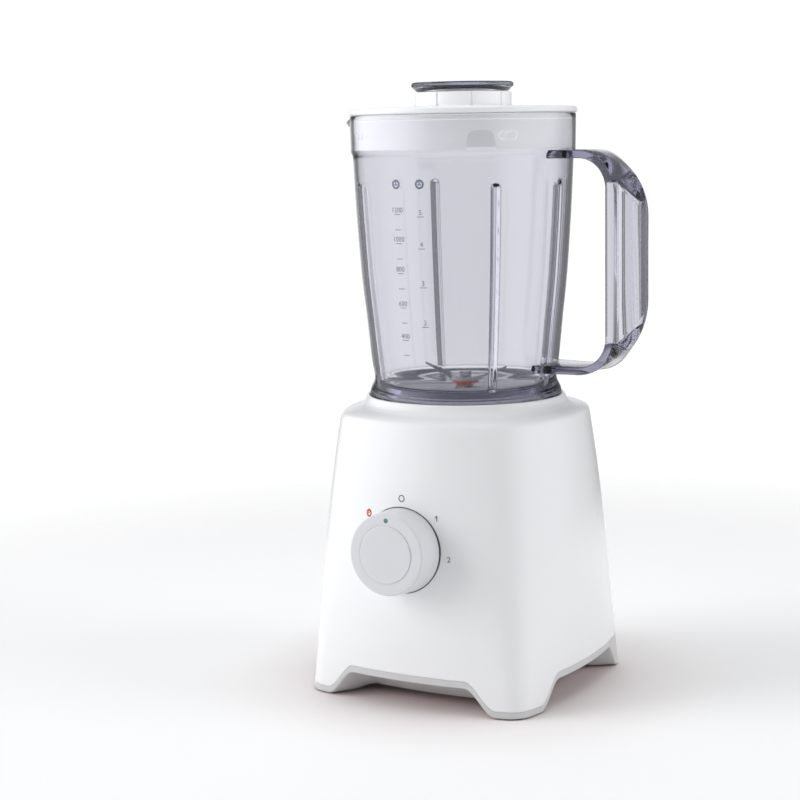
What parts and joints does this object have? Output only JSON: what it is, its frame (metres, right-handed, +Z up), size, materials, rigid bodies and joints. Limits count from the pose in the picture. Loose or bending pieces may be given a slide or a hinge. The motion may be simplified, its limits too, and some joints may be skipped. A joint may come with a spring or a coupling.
{
  "type": "countertop blender",
  "caption": "Countertop blender: bowed square base with a front knob, clear ribbed jug with a moulded grip, white lid with a smoked filler cap, steel blades.",
  "frame": {"origin": "on the table, at the middle of the whole outline seen from above", "axes": "+Z up along the motor's axis, the knob faces -Y, the handle reaches along +X and the pouring lip along -X"},
  "size_m": [0.2114, 0.1894, 0.385],
  "materials": {
    "white_plastic": "smooth gloss moulding",
    "trim_plastic": "fine satin",
    "knob_plastic": "satin",
    "dark_plastic": "satin",
    "black_plastic": "satin",
    "clear_plastic": "clear, polished",
    "smoke_plastic": "tinted, polished",
    "red_plastic": "smooth",
    "marker_paint": "printed dot",
    "silicone": "translucent white silicone",
    "rubber": "moulded",
    "steel": "fine brushed",
    "lamination": "stacked laminations",
    "copper": "enamelled copper winding",
    "bronze": "sintered bronze"
  },
  "bodies": {
    "base": {"housing": "white_plastic", "base_plate": "trim_plastic", "cord_gland": "rubber", "knob_bezel": "dark_plastic", "rotary_switch": "black_plastic", "foot_front_left": "rubber", "foot_front_right": "rubber", "foot_rear_left": "rubber", "foot_rear_right": "rubber", "base_screw_front_left": "steel", "base_screw_front_right": "steel", "base_screw_rear_left": "steel", "base_screw_rear_right": "steel", "motor_isolator_front_left": "rubber", "motor_isolator_front_right": "rubber", "motor_isolator_rear_left": "rubber", "motor_isolator_rear_right": "rubber", "stator_core": "lamination", "field_coil_rear": "copper", "field_coil_front": "copper", "motor_bracket_upper": "steel", "motor_bracket_lower": "steel", "bearing_upper": "bronze", "bearing_lower": "bronze", "motor_bolt_left": "steel", "motor_bolt_right": "steel", "brush_holder_left": "black_plastic", "brush_holder_right": "black_plastic", "carbon_brush_left": "dark_plastic", "carbon_brush_right": "dark_plastic", "suppressor_capacitor": "black_plastic"},
    "rotor": {"motor_shaft": "steel", "armature_core": "lamination", "armature_winding_upper": "copper", "armature_winding_lower": "copper", "commutator": "copper", "cooling_fan": "black_plastic", "drive_coupling": "dark_plastic"},
    "knob": {"knob": "knob_plastic", "knob_marker": "marker_paint", "knob_spindle": "steel"},
    "jug": {"jug": "clear_plastic", "jug_handle": "clear_plastic"},
    "blade_unit": {"blade_holder": "dark_plastic", "holder_seal": "silicone", "holder_bush": "bronze"},
    "blades": {"blade_shaft": "steel", "driven_coupling": "dark_plastic", "blade_hub": "red_plastic", "blade_lower": "steel", "blade_upper": "steel", "blade_nut": "steel"},
    "lid": {"lid": "white_plastic", "lid_seal": "silicone"},
    "cap": {"filler_cap": "smoke_plastic"}
  },
  "joints": [
    {"name": "motor_spin", "type": "hinge", "parent": "base", "child": "rotor", "pos_m": [-0.0193, 0.00827, 0.1], "axis": [0, 0, 1], "continuous": true},
    {"name": "knob_turn", "type": "hinge", "parent": "base", "child": "knob", "pos_m": [-0.0215, -0.07199, 0.0999], "axis": [0, 0.9991, -0.0433], "range_deg": [-48, 96]},
    {"name": "jug_lift", "type": "slide", "parent": "base", "child": "jug", "axis": [0, 0, 1], "range_m": [0, 0.09]},
    {"name": "blade_unit_turn", "type": "hinge", "parent": "jug", "child": "blade_unit", "pos_m": [-0.0193, 0.00827, 0.188], "axis": [0, 0, 1], "range_deg": [0, 40]},
    {"name": "blade_spin", "type": "hinge", "parent": "jug", "child": "blades", "pos_m": [-0.0193, 0.00827, 0.2], "axis": [0, 0, 1], "continuous": true},
    {"name": "lid_lift", "type": "slide", "parent": "jug", "child": "lid", "axis": [0, 0, 1], "range_m": [0, 0.06]},
    {"name": "cap_lift", "type": "slide", "parent": "lid", "child": "cap", "axis": [0, 0, 1], "range_m": [0, 0.05]}
  ],
  "couplings": [
    {"joint": "blade_spin", "follows": "motor_spin", "ratio": 1}
  ]
}
